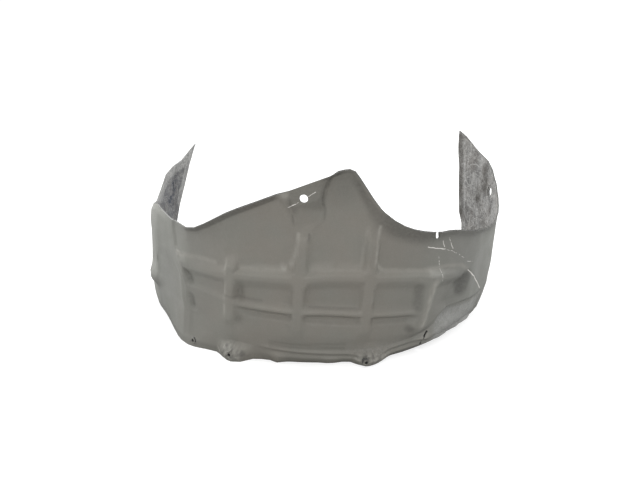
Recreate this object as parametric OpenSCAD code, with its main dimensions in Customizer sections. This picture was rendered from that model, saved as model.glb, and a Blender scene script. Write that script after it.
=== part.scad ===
// Splash shield: a liner moulded in one piece from a felted sheet, which wraps a road wheel.
// It stands on its outer rim. The crown of the arch faces -Y and its two legs run back to +Y.
// Angles go round the arch in degrees, 0 at the crown and positive towards +X.
// Levels go up the arch's own axis, which leans because the standing rim is not square to it.

/* [Arch] */
// Radius of the arch over the crests of its ribs
arch_r = 352; // [320:1:400]
// Thickness of the moulded sheet
wall = 3; // [2:0.5:4]
// Lean of the arch's axis towards +X as it stands on its rim
lean = 4.5; // [0:0.5:8]
// Growth of the radius for each millimetre of level, below draft_level
draft = 0.06; // [0:0.01:0.1]
// Level above which the arch keeps one radius
draft_level = 130; // [80:5:160]
// End of the left leg at its top
left_end = -124; // [-130:0.2:-116]
// End of the right leg at its top
right_end = 124.8; // [116:0.2:130]
// How far the strip along the right leg's end is turned outwards
end_turn = 4; // [0:0.5:6]

/* [Top edge] */
// Height of the peak over the floor
peak_h = 371; // [340:1:420]
// Angle of the peak
peak_at = 4.5; // [-5:0.5:12]
// Height of the left shoulder
left_shoulder_h = 229; // [200:1:250]
// Height of the right shoulder
right_shoulder_h = 234; // [205:1:250]
// Lowest height of the top edge on the left side
left_dip_h = 199; // [185:1:210]
// Lowest height of the top edge on the right side
right_dip_h = 203; // [195:1:215]
// Height of the left leg's tip
left_tip_h = 276; // [250:1:330]
// Height of the right leg's tip
right_tip_h = 304; // [280:1:360]
// How far the top edge is flared outwards
flare_out = 9; // [0:0.5:12]
// Height of the flare under the top edge
flare_h = 12; // [10:1:30]
// Extra height of the flare under the steep side of the peak
peak_flare_h = 22; // [0:1:40]

/* [Ribs and bands] */
// Height of the ribs and bands over the panels at their edges
rib_h = 9; // [3:0.5:12]
// Extra depth of the panel beside the right corner
bay_depth = 8; // [0:0.5:12]
// Depth by which each panel is flatter than the round of the arch
panel_flat = 3.5; // [0:0.5:6]
// Angle between neighbouring ribs
rib_pitch = 20.4; // [19:0.1:21]
// Angle of the rib that runs up to the clip pad
pad_rib_at = -7.1; // [-9:0.1:-5]
// Depth of the small pockets beside the two left ribs
pocket_depth = 5; // [0:0.5:8]
// Width of a rib's crest
rib_crest = 15; // [8:1:24]
// Width of the slope at each side of a rib
rib_slope = 9; // [6:1:14]
// Width of the upper band's crest
band_crest = 10; // [6:1:14]
// Width of the slope on the upper side of a band
band_slope = 10; // [7:0.5:11]
// Width of the gentler slope on the lower side of the upper band
band_low_slope = 17; // [10:0.5:18]
// Width of the lower band's crest
low_band_crest = 5; // [3:0.5:8]
// Height of the terrace under the bands, over the panels
terrace_h = 5; // [1:0.5:6]

/* [Rim] */
// Radius of the ledge that runs round the rim at the crown
ledge_r = 338; // [332:1:342]
// Depth of the groove above the ledge
ledge_step = 3; // [2:0.5:8]
// How far the big screw bosses stand out from the rim
boss_out = 27; // [10:1:34]
// Height of the screw bosses
boss_h = 30; // [24:1:44]
// How far the small nubs stand out from the rim
nub_out = 8; // [2:1:14]
// How far the swelling on the left side stands out
side_bulge = 12; // [0:1:14]

/* [Fixings] */
// Diameter of the clip hole under the peak
clip_hole_d = 14.5; // [6:0.5:20]
// Distance of the clip hole below the top edge
clip_hole_drop = 24; // [16:1:40]
// Angle of the clip hole and its flat pad
pad_at = -7.6; // [-9:0.1:-5]
// Width of the flat pad
pad_w = 56; // [36:1:60]
// Diameter of the clip hole in the right leg
leg_hole_d = 15.5; // [8:0.5:16]
// Level of the clip hole in the right leg
leg_hole_level = 239; // [190:1:250]
// Angle of the clip hole in the right leg
leg_hole_at = 97.7; // [92:0.1:108]
// Diameter of the thin seat pressed into the leg round its clip hole
leg_seat_d = 26; // [22:1:30]
// Diameter of the screw holes in the rim
screw_hole_d = 6; // [3:0.5:8]
// Diameter of the thick seat round a screw hole
screw_seat_d = 13; // [11:1:20]
// Height of the screw holes over the floor
screw_hole_h = 11; // [9:0.5:16]

/* [Wear] */
// Width of the split in the top edge
split_w = 6; // [0.5:0.5:12]
// Depth of the split in the top edge
split_depth = 17; // [2:1:30]
// Angle of the split in the top edge
split_at = 33.9; // [28:0.1:44]
// Width of the tears by the rim
tear_w = 3; // [0.5:0.5:6]

/* [Hidden] */
$fn = 48;

// Shaping functions
function ramp(x, from, to) = min(1, max(0, (x - from) / (to - from)));
function mix(a, b, t) = a + (b - a) * t;
function hill(x, centre, half) = abs(x - centre) < half ? (1 + cos(180 * (x - centre) / half)) / 2 : 0;
function slope_at(p, i) =
    i == 0 || i == len(p) - 1 ? 0 : (p[i + 1][1] - p[i - 1][1]) / (p[i + 1][0] - p[i - 1][0]);

// Smooth curve through a list of [x, y] points
function curve(x, p) =
    let (i = max(0, min(len(p) - 2, len([for (q = p) if (q[0] <= x) 1]) - 1)),
         span = p[i + 1][0] - p[i][0],
         t = ramp(x, p[i][0], p[i + 1][0]),
         rise = 3 * t * t - 2 * t * t * t)
    mix(p[i][1], p[i + 1][1], rise)
        + span * (t * (1 - t) * (1 - t) * slope_at(p, i) - t * t * (1 - t) * slope_at(p, i + 1));

// Angle that a width takes up on the arch
function width_deg(w) = w / arch_r * 180 / PI;

// Height over the floor turned into a level at angle a and radius r
function level_of(h, a, r) = (h + r * sin(a) * sin(lean)) / cos(lean);

// Height of the top edge over the floor
top_edge = [
    [-124, left_tip_h], [-119.5, left_tip_h - 19], [-116, left_tip_h - 26],
    [-107, left_tip_h - 35], [-101.5, left_dip_h + 25], [-100.6, left_dip_h + 13],
    [-94, left_dip_h], [-88, left_dip_h + 6], [-80, left_dip_h + 20], [-71, left_shoulder_h + 7],
    [-61, left_shoulder_h + 2], [-52, left_shoulder_h + 1],
    [-45, left_shoulder_h + 3], [-40, left_shoulder_h + 16],
    [-30, mix(left_shoulder_h, peak_h, 0.37)], [-20, mix(left_shoulder_h, peak_h, 0.575)],
    [-10, mix(left_shoulder_h, peak_h, 0.77)], [peak_at - 4.5, peak_h - 7],
    [peak_at - 1.5, peak_h - 1], [peak_at, peak_h], [peak_at + 1.5, peak_h - 4],
    [peak_at + 3.5, peak_h - 20], [peak_at + 7.5, mix(right_shoulder_h, peak_h, 0.605)],
    [peak_at + 10.5, mix(right_shoulder_h, peak_h, 0.445)],
    [peak_at + 16, mix(right_shoulder_h, peak_h, 0.25)],
    [peak_at + 22, right_shoulder_h + 16], [35, right_shoulder_h + 3.2], [40, right_shoulder_h + 0.8],
    [50, right_shoulder_h - 12.5], [60, right_shoulder_h - 23], [68, right_dip_h],
    [74, right_dip_h + 3], [83, right_dip_h + 7], [91, right_dip_h + 24],
    [101, right_tip_h - 43], [107, right_tip_h - 35.5], [115, right_tip_h - 23], [124.6, right_tip_h]
];

// Radius of the rim's edge, which turns in under the arch
rim_edge_r = [
    [-122, arch_r - 12], [-84, arch_r - 18], [-72, arch_r - 28], [-64, arch_r - 27],
    [-56, arch_r - 18], [-48, arch_r - 5], [-43, arch_r - 5], [-34, arch_r - 14],
    [-16, arch_r - 24], [25, arch_r - 26], [45, arch_r - 36], [57, arch_r - 39],
    [67, arch_r - 29], [80, arch_r - 14], [92, arch_r - 8], [122, arch_r - 8]
];

// Levels of the lines that run round the arch, one under the other
band_a = [
    [-90, 118], [-60, 142], [-50, 154], [-30, 165], [-20, 172], [-10, 179], [0, 189],
    [8, 192], [17, 190], [30, 184], [40, 177], [47, 172], [65, 168]
];
band_b = [[-60, 104], [-50, 108], [-30, 110], [-10, 116], [0, 120], [10, 120], [30, 115]];
terrace_top = [[-60, 66], [-30, 74], [-16, 80], [0, 83], [28, 82]];
terrace_foot = [
    [-90, 30], [-60, 48], [-16, 52], [0, 57], [26, 58], [33, 61], [38, 64],
    [41, 75], [43.5, 87], [48, 98], [56, 97], [64, 94], [90, 92]
];
ledge_top = [
    [-90, 6], [-60, 22], [-16, 28], [0, 30], [15, 33], [25, 40], [33, 48],
    [38, 52], [41, 64], [43.5, 77], [48, 88], [56, 87], [64, 83], [72, 80]
];
low_slope = 7;
terrace_slope = 8;

function rim_r(a) = curve(a, rim_edge_r);
function rim_level(a) = level_of(0, a, rim_r(a));
function top_level(a) = level_of(curve(a, top_edge), a, arch_r);
function flare_height(a) = flare_h + peak_flare_h * hill(a, peak_at + 10, 18);
// Along the left flank the edge rolls in instead, by this share of the flare
left_roll = 0.5;
function flare_share(a) = mix(0.1, 1, min(ramp(a, -50, -42), ramp(a, 74, 58)))
    - left_roll * min(ramp(a, -56, -66), ramp(a, -98, -88));

// The pad rib opens into the flat pad between these shares of the way up, and is lower there
pad_open = [0.47, 0.56];
pad_rise = [[0.4, 1], [0.47, 0.2], [0.56, 0.1], [0.7, 0.5], [0.85, 1]];
// Outline of the pad: [share of the way up, left foot, left crest, right crest, right foot],
// the last four in pad widths from the middle of its rib
pad_outline = [
    [0.56, -0.43, -0.29, 0.54, 0.64], [0.81, -0.52, -0.36, 0.5, 0.64], [0.89, -0.7, -0.45, 0.46, 0.62],
    [0.96, -0.89, -0.52, 0.48, 0.66], [1.04, -0.93, -0.52, 0.57, 0.8], [1.1, -0.93, -0.5, 0.72, 0.98]
];

// Vertical ribs: [angle, lean in degrees per mm, slope width left, slope width right,
// share of the way from the upper band to the edge where it starts to fade, share of the full height]
rib_lean_level = 110;
ribs = [
    [pad_rib_at - 3 * rib_pitch, 0, rib_slope, rib_slope, 0, 1],
    [pad_rib_at - 2 * rib_pitch, 0, rib_slope, 0.7 * rib_slope, 0, 1],
    [pad_rib_at - rib_pitch - 1.2, 0, rib_slope, rib_slope, 0.04, 1],
    [pad_rib_at, 0, rib_slope, rib_slope, 2, 1],
    [pad_rib_at + rib_pitch, 0, rib_slope, rib_slope, 0.6, 1],
    [pad_rib_at + 2 * rib_pitch - 1.7, 0.031, 1.9 * rib_slope, 2.8 * rib_slope, -0.14, 1.5],
    [pad_rib_at + 3 * rib_pitch - 1.2, 0.02, 3.8 * rib_slope, rib_slope, 0, 1]
];
left_rib = 1;
right_rib = len(ribs) - 1;
pad_rib = 3;
// The left corner rib swings to the left as it goes up: [share of the way up, degrees]
corner_shift = [[-0.8, 1.9], [-0.62, 0.7], [-0.4, -0.3], [-0.2, -1.8], [0, -5.2], [0.2, -7.5], [1, -9.5]];

function rib_middle(k, v) = ribs[k][0] + ribs[k][1] * (v - rib_lean_level);

// The four lines of a rib on the row of crown level v: left foot, left crest, right crest, right foot
function rib_lines(k, v) =
    let (up = upper_share(0, v), half = width_deg(rib_crest / 2),
         m = rib_middle(k, v) + (k == left_rib ? lookup(up, corner_shift) : 0),
         plain = [m - half - width_deg(ribs[k][2]), m - half, m + half, m + half + width_deg(ribs[k][3])],
         open = ramp(up, pad_open[0], pad_open[1]))
    k != pad_rib ? plain
        : [for (i = [0 : 3]) mix(plain[i], m + width_deg(pad_w) * pad_line(i, up), open)];
function pad_line(i, up) = lookup(up, [for (p = pad_outline) [p[0], p[i + 1]]]);

// The upper band is gentler above and steeper below on the left
function band_slope_at(a) = band_slope * mix(1.5, 1, ramp(a, -34, -26));
function band_low_at(a) = band_low_slope * mix(0.55, 1, ramp(a, -34, -26));

// How much of a rib's height stands at angle a on the row of crown level v
function rib_part(k, a, v) =
    let (q = rib_lines(k, v))
    min(ramp(a, q[0], q[1]), ramp(a, q[3], q[2]));

// Share of the way from the upper band to the flared edge
function upper_share(a, w) =
    let (u = curve(a, band_a), edge = top_level(a))
    (w - u) / (edge - flare_depth(a) - u);

rib_fade = 0.2;
function rib_run(k, a, w) =
    let (foot = curve(a, terrace_foot), end = ribs[k][4])
    ramp(w, foot - terrace_slope, foot + 4) * ramp(upper_share(a, w), end + rib_fade, end);

// Raised share of the surface: 0 on a panel, 1 on a crest
function raised(a, w, v) =
    let (up = curve(a, band_a), low = curve(a, band_b), foot = curve(a, terrace_foot),
         shelf = curve(a, terrace_top), band_foot = up - band_slope_at(a) - band_crest,
         low_foot = low - low_band_crest - band_slope - 1, share = upper_share(a, w),
         inner = [for (k = [left_rib + 1 : right_rib - 1])
             ribs[k][5] * rib_part(k, a, v) * rib_run(k, a, w)
                 * (k == pad_rib ? lookup(share, pad_rise) : 1)],
         left = rib_lines(left_rib, v), right = rib_lines(right_rib, v),
         left_side = ramp(a, left[3], left[2]),
         right_side = mix(ramp(a, right[0], right[1]), ramp(a, 34, 51), ramp(share, -0.01, 0)),
         low_reach = ramp(a, 37, 31), groove_reach = ramp(a, -32, -22),
         upper_band = min(ramp(w, band_foot - band_low_at(a), band_foot), ramp(w, up, up - band_slope_at(a))),
         lower_band = low_reach * min(ramp(w, low_foot - low_slope, low_foot),
                                      ramp(w, low, low - band_slope - 1)),
         terrace = low_reach * terrace_h / rib_h * min(ramp(w, foot - terrace_slope, foot),
             mix(ramp(w, low, low - band_slope), ramp(w, shelf + low_slope, shelf), groove_reach)))
    max(concat(inner, [left_side, right_side, upper_band, terrace,
                       mix(terrace, lower_band, groove_reach)]));

// Left of the corner rib lies one shallow panel
function side_panel(a, w, v) =
    let (q = rib_lines(left_rib, v), p = rib_lines(left_rib - 1, v))
    0.2 * min(ramp(a, q[1], q[0]), ramp(a, p[2], p[3])) * min(ramp(w, 136, 124), ramp(w, 44, 58));

// Each bay between two ribs is flatter than the round of the arch
function bay_dish(a) =
    let (t = (a - pad_rib_at) / rib_pitch, f = t - floor(t))
    panel_flat * 4 * f * (1 - f) * min(ramp(a, -84, -70), ramp(a, 76, 62)) * mix(1.6, 1, ramp(a, -34, -26));

// The bay beside the right corner grows deeper up to the corner's wall
function deep_bay(a, w, v) =
    let (q = rib_lines(right_rib, v), p = rib_lines(right_rib - 1, v))
    bay_depth * min(ramp(a, p[3], q[0]), ramp(a, q[1], q[0])) * min(ramp(w, 168, 142), ramp(w, 88, 102));

// The bay between the two left ribs is shallower than the others, above all in its upper part
function bay_share(a, w) = mix(mix(0.6, 0.35, ramp(upper_share(a, w), -0.2, 0)), 1, ramp(a, -32, -28));

// Small pockets at the right foot of the two left ribs: [rib, lowest level, highest level]
pockets = [[1, 56, 77], [1, 103, 127], [2, 55, 76], [2, 110, 133]];
function pocket_r(a, w, v) =
    pocket_depth * max([for (p = pockets) let (q = rib_lines(p[0], v))
        min(ramp(a, q[2], q[3]), ramp(a, q[3] + 2, q[3] + 0.4),
            ramp(w, p[1] - 5, p[1] + 1), ramp(w, p[2] + 5, p[2] - 1))]);

function body_r(a, w, v) =
    arch_r - draft * max(0, draft_level - w) - bay_dish(a) - deep_bay(a, w, v)
        - rib_h * bay_share(a, w) * (1 - raised(a, w, v)) - rib_h * side_panel(a, w, v) - pocket_r(a, w, v);

// The rim zone, below the foot of the terrace
plain_rim = 1.7;
ledge_w = 6;
lip_groove_w = 5;
function ledge_crest(a) = mix(ledge_r, arch_r - 15, ramp(a, 32, 48));
// The ledge's upper side is narrow round the crown and broad at the right corner
function ledge_side(a) = mix(ledge_w, 0.6 * (curve(a, ledge_top) - rim_level(a)), ramp(a, 31, 43));
function rim_zone_r(a, w) =
    let (foot = curve(a, terrace_foot), low = rim_level(a), edge = rim_r(a),
         upper = body_r(a, foot, crown_levels[foot_row]), f = ramp(w, low, foot),
         plain = mix(edge, upper, 1 - pow(1 - f, plain_rim)),
         top = curve(a, ledge_top), lip = top - ledge_side(a), crest = ledge_crest(a), d = crest - edge,
         groove = crest - ledge_step * mix(1, 3.4, ramp(a, 30, 42)),
         back = mix(groove, mix(crest, upper, 0.5), ramp(a, 49, 57)),
         stepped = w > top ? mix(back, upper, ramp(w, top, foot))
             : lookup(w, [[low, edge], [mix(low, lip, 0.15), edge + 0.3 * d],
                          [mix(low, lip, 0.5), edge + 0.8 * d],
                          [lip - lip_groove_w, edge + 0.7 * d], [lip, crest], [top, back]]),
         share = min(ramp(a, -20, -12), ramp(a, 76, 66)))
    mix(plain, stepped, share);

// Bosses at the rim: [angle, reach to the left, reach to the right, share of the full reach outwards]
bosses = [
    [pad_rib_at - 2 * rib_pitch + 5.5, 5, 5, 0.1], [pad_rib_at - rib_pitch + 2.5, 9, 5.4, 1],
    [pad_rib_at + rib_pitch + 1.6, 5, 10.2, 1], [pad_rib_at - 4.9, 2.8, 2.8, nub_out / boss_out],
    [pad_rib_at + 11.4, 2.4, 2.4, 0.7 * nub_out / boss_out]
];
function boss_r(a, w) =
    let (h = (w - rim_level(a)) / boss_h)
    boss_out * max([for (b = bosses)
        b[3] * pow(hill(a, b[0], a < b[0] ? b[1] : b[2]), 0.8)
            * pow(max(0, 1 - pow(h * (b[3] < 0.5 ? 1.6 : 1), 2)), 1.1)]);

// The split slants to the right as it goes down, and is cut past the edge
split_shift = 0.9;
split_over = 4;
split_turn = 36;

// Tears by the rim: [angle, level, radius, length, turn in the sheet]
tears = [[36.9, 44.5, ledge_r - 4, 13, -64], [34.9, 24, ledge_r - 5, 12, -14]];
tear_skew = 28;

// Thickness of the seats round the screw holes and round the leg's clip hole, depth of every cut
seat_t = 10.5;
seat_proud = 1.1;
leg_seat_t = 0.55 * wall;
cut_depth = 60;

side_swell = [-72, 60];
// The flank over the swelling bulges a little too: [angle, level, share of the swelling]
flank_swell = [-77, 166, 0.3];
function swell_r(a, w) =
    side_bulge * (hill(a, side_swell[0], 11) * hill(w, side_swell[1], w < side_swell[1] ? 17 : 27)
        + flank_swell[2] * hill(a, flank_swell[0], 20) * hill(w, flank_swell[1], 42));

function flare_depth(a) = min(flare_height(a), 0.4 * (top_level(a) - curve(a, band_a)));
function flare_r(a, w, v) =
    let (t = ramp(top_level(a) - w, flare_depth(a), 0))
    flare_out * pow(t, 1.15) * flare_share(a) * (1 - rib_part(pad_rib, a, v));

// The strip along the right leg's end is turned outwards
end_strip = 4.2;
function end_turn_r(a, end) = end_turn * ramp(a, end - end_strip, end);

pad_r = arch_r + 0.5;
pad_share = 0.85;
function on_pad(a, w, v) = rib_part(pad_rib, a, v) > 0.999 && upper_share(a, w) > pad_share - 0.001;
function skin_r(a, w, i) =
    let (v = crown_levels[i])
    on_pad(a, w, v) ? pad_r / cos(a - pad_at)
    : (i < foot_row ? rim_zone_r(a, w) : body_r(a, w, v))
        + boss_r(a, w) + swell_r(a, w) + flare_r(a, w, v) + end_turn_r(a, end_deg(1, i));

// Rows of the surface, from the rim up: [share of the way from one line to the next]
rim_rows = [0, 0.15, 0.5];
upper_rows = [0.12, 0.26, 0.4, 0.47, 0.56, 0.7, pad_share, 1];
flare_rows = [0.35, 0.7, 1];
function row_levels(a) =
    let (low = rim_level(a), ledge = curve(a, ledge_top), foot = curve(a, terrace_foot),
         shelf = curve(a, terrace_top), b = curve(a, band_b), u = curve(a, band_a),
         edge = top_level(a), fl = flare_depth(a), lip = ledge - ledge_side(a),
         b_foot = b - low_band_crest - band_slope - 1, slope_w = band_slope_at(a),
         u_foot = u - slope_w - band_crest, low_w = band_low_at(a),
         even = max(ramp(a, 31, 40), ramp(a, -52, -66)),
         banded = [mix(foot, shelf, 0.5), shelf, shelf + low_slope, b_foot - low_slope, b_foot,
                   b - band_slope - 1, b, mix(b, u_foot - low_w, 0.5)],
         n = len(banded))
    concat([for (t = rim_rows) mix(low, lip, t)],
           [lip - lip_groove_w, lip, ledge, foot - terrace_slope, foot],
           [for (i = [0 : n - 1]) mix(banded[i], mix(foot, u_foot - low_w, (i + 1) / (n + 1)), even)],
           [u_foot - low_w, u_foot, u - slope_w, u],
           [for (t = upper_rows) mix(u, edge - fl, t)],
           [for (t = flare_rows) mix(edge - fl, edge, t)]);
foot_row = len(rim_rows) + 4;
crown_levels = row_levels(0);
rows = len(crown_levels);

// Columns of the surface, from the left leg to the right one
leg_cells = 9;
bay_cells = 6;
left_levels = row_levels(left_end);
right_levels = row_levels(right_end);
// Shift of a leg's end towards the crown: [distance below its tip, degrees]
left_end_line = [[0, 0], [25, 3.2], [150, 10], [280, 18]];
right_end_line = [[0, 0], [40, 0.9], [106, 3.3], [183, 5.6], [201, 8], [300, 14]];
function end_deg(side, i) =
    side < 0 ? left_end + lookup(left_levels[rows - 1] - left_levels[i], left_end_line)
        : right_end - lookup(right_levels[rows - 1] - right_levels[i], right_end_line);
function between(a, b, n) = [for (i = [1 : n - 1]) mix(a, b, i / n)];
function column_degs(i) =
    let (w = crown_levels[i], lines = [for (k = [0 : len(ribs) - 1]) rib_lines(k, w)],
         l = end_deg(-1, i), r = end_deg(1, i), last = len(ribs) - 1)
    concat([l, l + 2.5], between(l + 2.5, lines[0][0], leg_cells),
           [for (k = [0 : last]) each concat(lines[k],
               k < last ? between(lines[k][3], lines[k + 1][0], bay_cells) : [])],
           between(lines[last][3], r - end_strip, leg_cells + 2), [r - end_strip, r]);
row_columns = [for (i = [0 : rows - 1]) column_degs(i)];
cols = len(row_columns[0]);

function on_arch(a, w, r) = [r * sin(a), -r * cos(a), w];
// A point of the rim's edge stands on the floor
function on_floor(a, r) = on_arch(a, level_of(0, a, r), r);
function skin_point(i, a) =
    let (w = row_levels(a)[i], r = skin_r(a, w, i))
    i == 0 ? on_floor(a, r) : on_arch(a, w, r);
outer_points = [for (i = [0 : rows - 1]) [for (a = row_columns[i]) skin_point(i, a)]];
function outward(i, j) =
    let (along = outer_points[i][min(cols - 1, j + 1)] - outer_points[i][max(0, j - 1)],
         up = outer_points[min(rows - 1, i + 1)][j] - outer_points[max(0, i - 1)][j],
         n = cross(along, up))
    n / norm(n);
pad_outward = on_arch(pad_at, 0, 1);
function lining_point(i, j) =
    let (a = row_columns[i][j], p = outer_points[i][j])
    i == 0 ? on_floor(a, norm([p[0], p[1]]) - wall)
        : p - wall * (on_pad(a, p[2], crown_levels[i]) ? pad_outward : outward(i, j));
inner_points = [for (i = [0 : rows - 1]) [for (j = [0 : cols - 1]) lining_point(i, j)]];

// Middle of the shield as it stands, worked out from its points
all_points = concat([for (row = outer_points) each row], [for (row = inner_points) each row]);
standing_x = [for (p = all_points) p[0] * cos(lean) + p[2] * sin(lean)];
standing_y = [for (p = all_points) p[1]];
middle = [(min(standing_x) + max(standing_x)) / 2, (min(standing_y) + max(standing_y)) / 2];

// The moulded sheet as one closed surface
module moulded_sheet() {
    n = rows * cols;
    function id(i, j) = i * cols + j;
    faces = concat(
        [for (i = [0 : rows - 2], j = [0 : cols - 2])
            each [[id(i, j), id(i + 1, j + 1), id(i, j + 1)], [id(i, j), id(i + 1, j), id(i + 1, j + 1)]]],
        [for (i = [0 : rows - 2], j = [0 : cols - 2])
            each [[n + id(i, j), n + id(i, j + 1), n + id(i + 1, j + 1)],
                  [n + id(i, j), n + id(i + 1, j + 1), n + id(i + 1, j)]]],
        [for (j = [0 : cols - 2])
            each [[id(0, j), id(0, j + 1), n + id(0, j + 1)], [id(0, j), n + id(0, j + 1), n + id(0, j)],
                  [id(rows - 1, j), n + id(rows - 1, j + 1), id(rows - 1, j + 1)],
                  [id(rows - 1, j), n + id(rows - 1, j), n + id(rows - 1, j + 1)]]],
        [for (i = [0 : rows - 2])
            each [[id(i, 0), n + id(i + 1, 0), id(i + 1, 0)], [id(i, 0), n + id(i, 0), n + id(i + 1, 0)],
                  [id(i, cols - 1), id(i + 1, cols - 1), n + id(i + 1, cols - 1)],
                  [id(i, cols - 1), n + id(i + 1, cols - 1), n + id(i, cols - 1)]]]);
    polyhedron(points = all_points, faces = faces, convexity = 12);
}

// A frame on the arch at angle a, level w and radius r: x along the arch, y up, z outwards
module at_arch(a, w, r) {
    translate([0, 0, w])
        rotate([0, 0, a - 90])
            translate([r, 0, 0])
                rotate([0, 90, 0])
                    rotate([0, 0, 90])
                        children();
}

// Screw holes in the rim, by their angles
screws = [bosses[0][0], bosses[1][0] - 1.8, bosses[2][0] - 0.6];
function screw_level(a) = rim_level(a) + screw_hole_h;
function screw_r(a) = rim_zone_r(a, screw_level(a)) + boss_r(a, screw_level(a)) + seat_proud - seat_t / 2;

module screw_seats() {
    for (a = screws)
        at_arch(a, screw_level(a), screw_r(a)) cylinder(d = screw_seat_d, h = seat_t, center = true);
}

// The leg's clip hole has a thin seat, pressed in from both faces
module leg_seat() {
    for (side = [-1, 1])
        at_arch(leg_hole_at, leg_hole_level, arch_r - wall / 2 + side * (leg_seat_t + cut_depth) / 2)
            cylinder(d = leg_seat_d, h = cut_depth, center = true);
}

module fixing_holes() {
    for (a = screws)
        at_arch(a, screw_level(a), screw_r(a)) cylinder(d = screw_hole_d, h = cut_depth, center = true);
    at_arch(leg_hole_at, leg_hole_level, arch_r) cylinder(d = leg_hole_d, h = cut_depth, center = true);
    at_arch(pad_at, top_level(pad_at) - clip_hole_drop, pad_r)
        cylinder(d = clip_hole_d, h = cut_depth, center = true);
}

// A slit right through the sheet, its middle on the frame, turned in the sheet and skewed through it
module slit(width, length, turn, skew) {
    rotate([0, 0, turn])
        rotate([0, skew, 0])
            cube([width, length, cut_depth], center = true);
}

module splits() {
    at_arch(split_at + split_shift, top_level(split_at) - split_depth / 2 + split_over / 2, arch_r)
        slit(split_w, split_depth + split_over, split_turn, 0);
    for (t = tears)
        at_arch(t[0], t[1], t[2]) slit(tear_w, t[3], t[4], tear_skew);
}

module splash_shield() {
    color([0.48, 0.48, 0.46])
        translate([-middle[0], -middle[1], 0])
            rotate([0, lean, 0])
                difference() {
                    union() {
                        moulded_sheet();
                        screw_seats();
                    }
                    leg_seat();
                    fixing_holes();
                    splits();
                }
}

splash_shield();
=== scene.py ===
# %% [markdown]
# # A splash shield for a road wheel
#
# A splash shield, or wheel arch liner, is one sheet of felt with a thin smooth film on
# its outer face. It is pressed hot between two moulds, so every rib, band and step in it
# is soft at its edges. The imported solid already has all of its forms, its holes and its
# tears. This script makes the moulded skin finer and softer, and gives its faces their
# finish: a dull film outside, a flecked felt inside and the fibres of the cut edge.

# %% Load the frame
import math
import bmesh
import bpy
import numpy as np
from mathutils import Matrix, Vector
from mathutils.kdtree import KDTree


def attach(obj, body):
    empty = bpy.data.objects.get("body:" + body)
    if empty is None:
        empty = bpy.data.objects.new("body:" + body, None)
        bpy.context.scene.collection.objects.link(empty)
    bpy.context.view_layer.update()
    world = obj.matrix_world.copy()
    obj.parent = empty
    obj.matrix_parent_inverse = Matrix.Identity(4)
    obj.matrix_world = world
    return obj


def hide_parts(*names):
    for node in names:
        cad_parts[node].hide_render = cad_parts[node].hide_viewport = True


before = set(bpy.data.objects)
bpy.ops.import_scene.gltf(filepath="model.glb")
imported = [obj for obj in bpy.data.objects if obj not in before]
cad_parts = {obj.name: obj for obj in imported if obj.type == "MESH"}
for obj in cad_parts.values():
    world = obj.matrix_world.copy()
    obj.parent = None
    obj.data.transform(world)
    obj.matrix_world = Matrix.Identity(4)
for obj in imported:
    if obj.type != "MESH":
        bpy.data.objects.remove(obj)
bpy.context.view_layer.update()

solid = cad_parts["splash_shield"]

# %% [markdown]
# ## The arch's own measures
#
# The arch is round about an axis that leans a little towards the taller leg. All finishes
# follow the sheet, so every point is given two numbers: its angle round the arch, in
# degrees from the crown, and its level along the axis, in millimetres. Unrolled, they are
# a flat map of the sheet, and a place on the shield is written as (angle, level).

# %% Axis and map of the arch
ARCH_R = 352
LEAN = math.radians(4.5)
AXIS_FOOT = np.array((-0.014509, 0.075617, 0.0))
AXIS = np.array((math.sin(LEAN), 0.0, math.cos(LEAN)))
ACROSS = np.array((math.cos(LEAN), 0.0, -math.sin(LEAN)))
MM_A_DEGREE = ARCH_R * math.pi / 180


def arch_places(points):
    """Angle round the arch in degrees, level in millimetres, and outward direction."""
    p = points - AXIS_FOOT
    x, y = p @ ACROSS, p[:, 1]
    outward = x[:, None] * ACROSS + y[:, None] * np.array((0.0, 1.0, 0.0))
    return np.degrees(np.arctan2(x, -y)), 1000 * (p @ AXIS), outward / np.hypot(x, y)[:, None]


def ease(x, start, end):
    """Smooth step from 0 at start to 1 at end, also where the end is lower."""
    t = np.clip((x - start) / (end - start), 0, 1)
    return t * t * (3 - 2 * t)


print("One degree round the arch is", round(MM_A_DEGREE, 2), "mm")

# %% [markdown]
# ## The camera
#
# The photograph was taken from a little above the sheet's middle, with a fairly long
# lens. The camera stands straight in front of the crown, a little over two metres away,
# and looks down by 20 degrees.

# %% Camera
VIEW_DOWN = math.radians(20)
VIEW_DISTANCE = 2.1
VIEW_TARGET = Vector((-0.008509, 0.075617, 0.1193))
LENS_MM = 56.475
FILM_WIDTH_MM = 36
CLIP_END = 60
bpy.ops.object.select_all(action="DESELECT")
bpy.ops.object.camera_add(
    location=VIEW_TARGET + VIEW_DISTANCE * Vector((0, -math.cos(VIEW_DOWN), math.sin(VIEW_DOWN))),
    rotation=(math.pi / 2 - VIEW_DOWN, 0, 0),
)
camera = bpy.context.object
camera.data.lens = LENS_MM
camera.data.sensor_width = FILM_WIDTH_MM
camera.data.clip_end = CLIP_END
bpy.context.scene.camera = camera
print("Camera at", [round(c, 3) for c in camera.location])

# %% [markdown]
# ## Floor and light
#
# The photograph has a plain white ground and a soft, even light. The floor's own colour
# is a mid grey, so that it throws little light up under the sheet, and a glow that only
# the camera sees lifts it to white. A wide lamp overhead does most of the work. Two lamps
# behind the legs brighten the flanks, and a faint low one fills the front.

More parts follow.
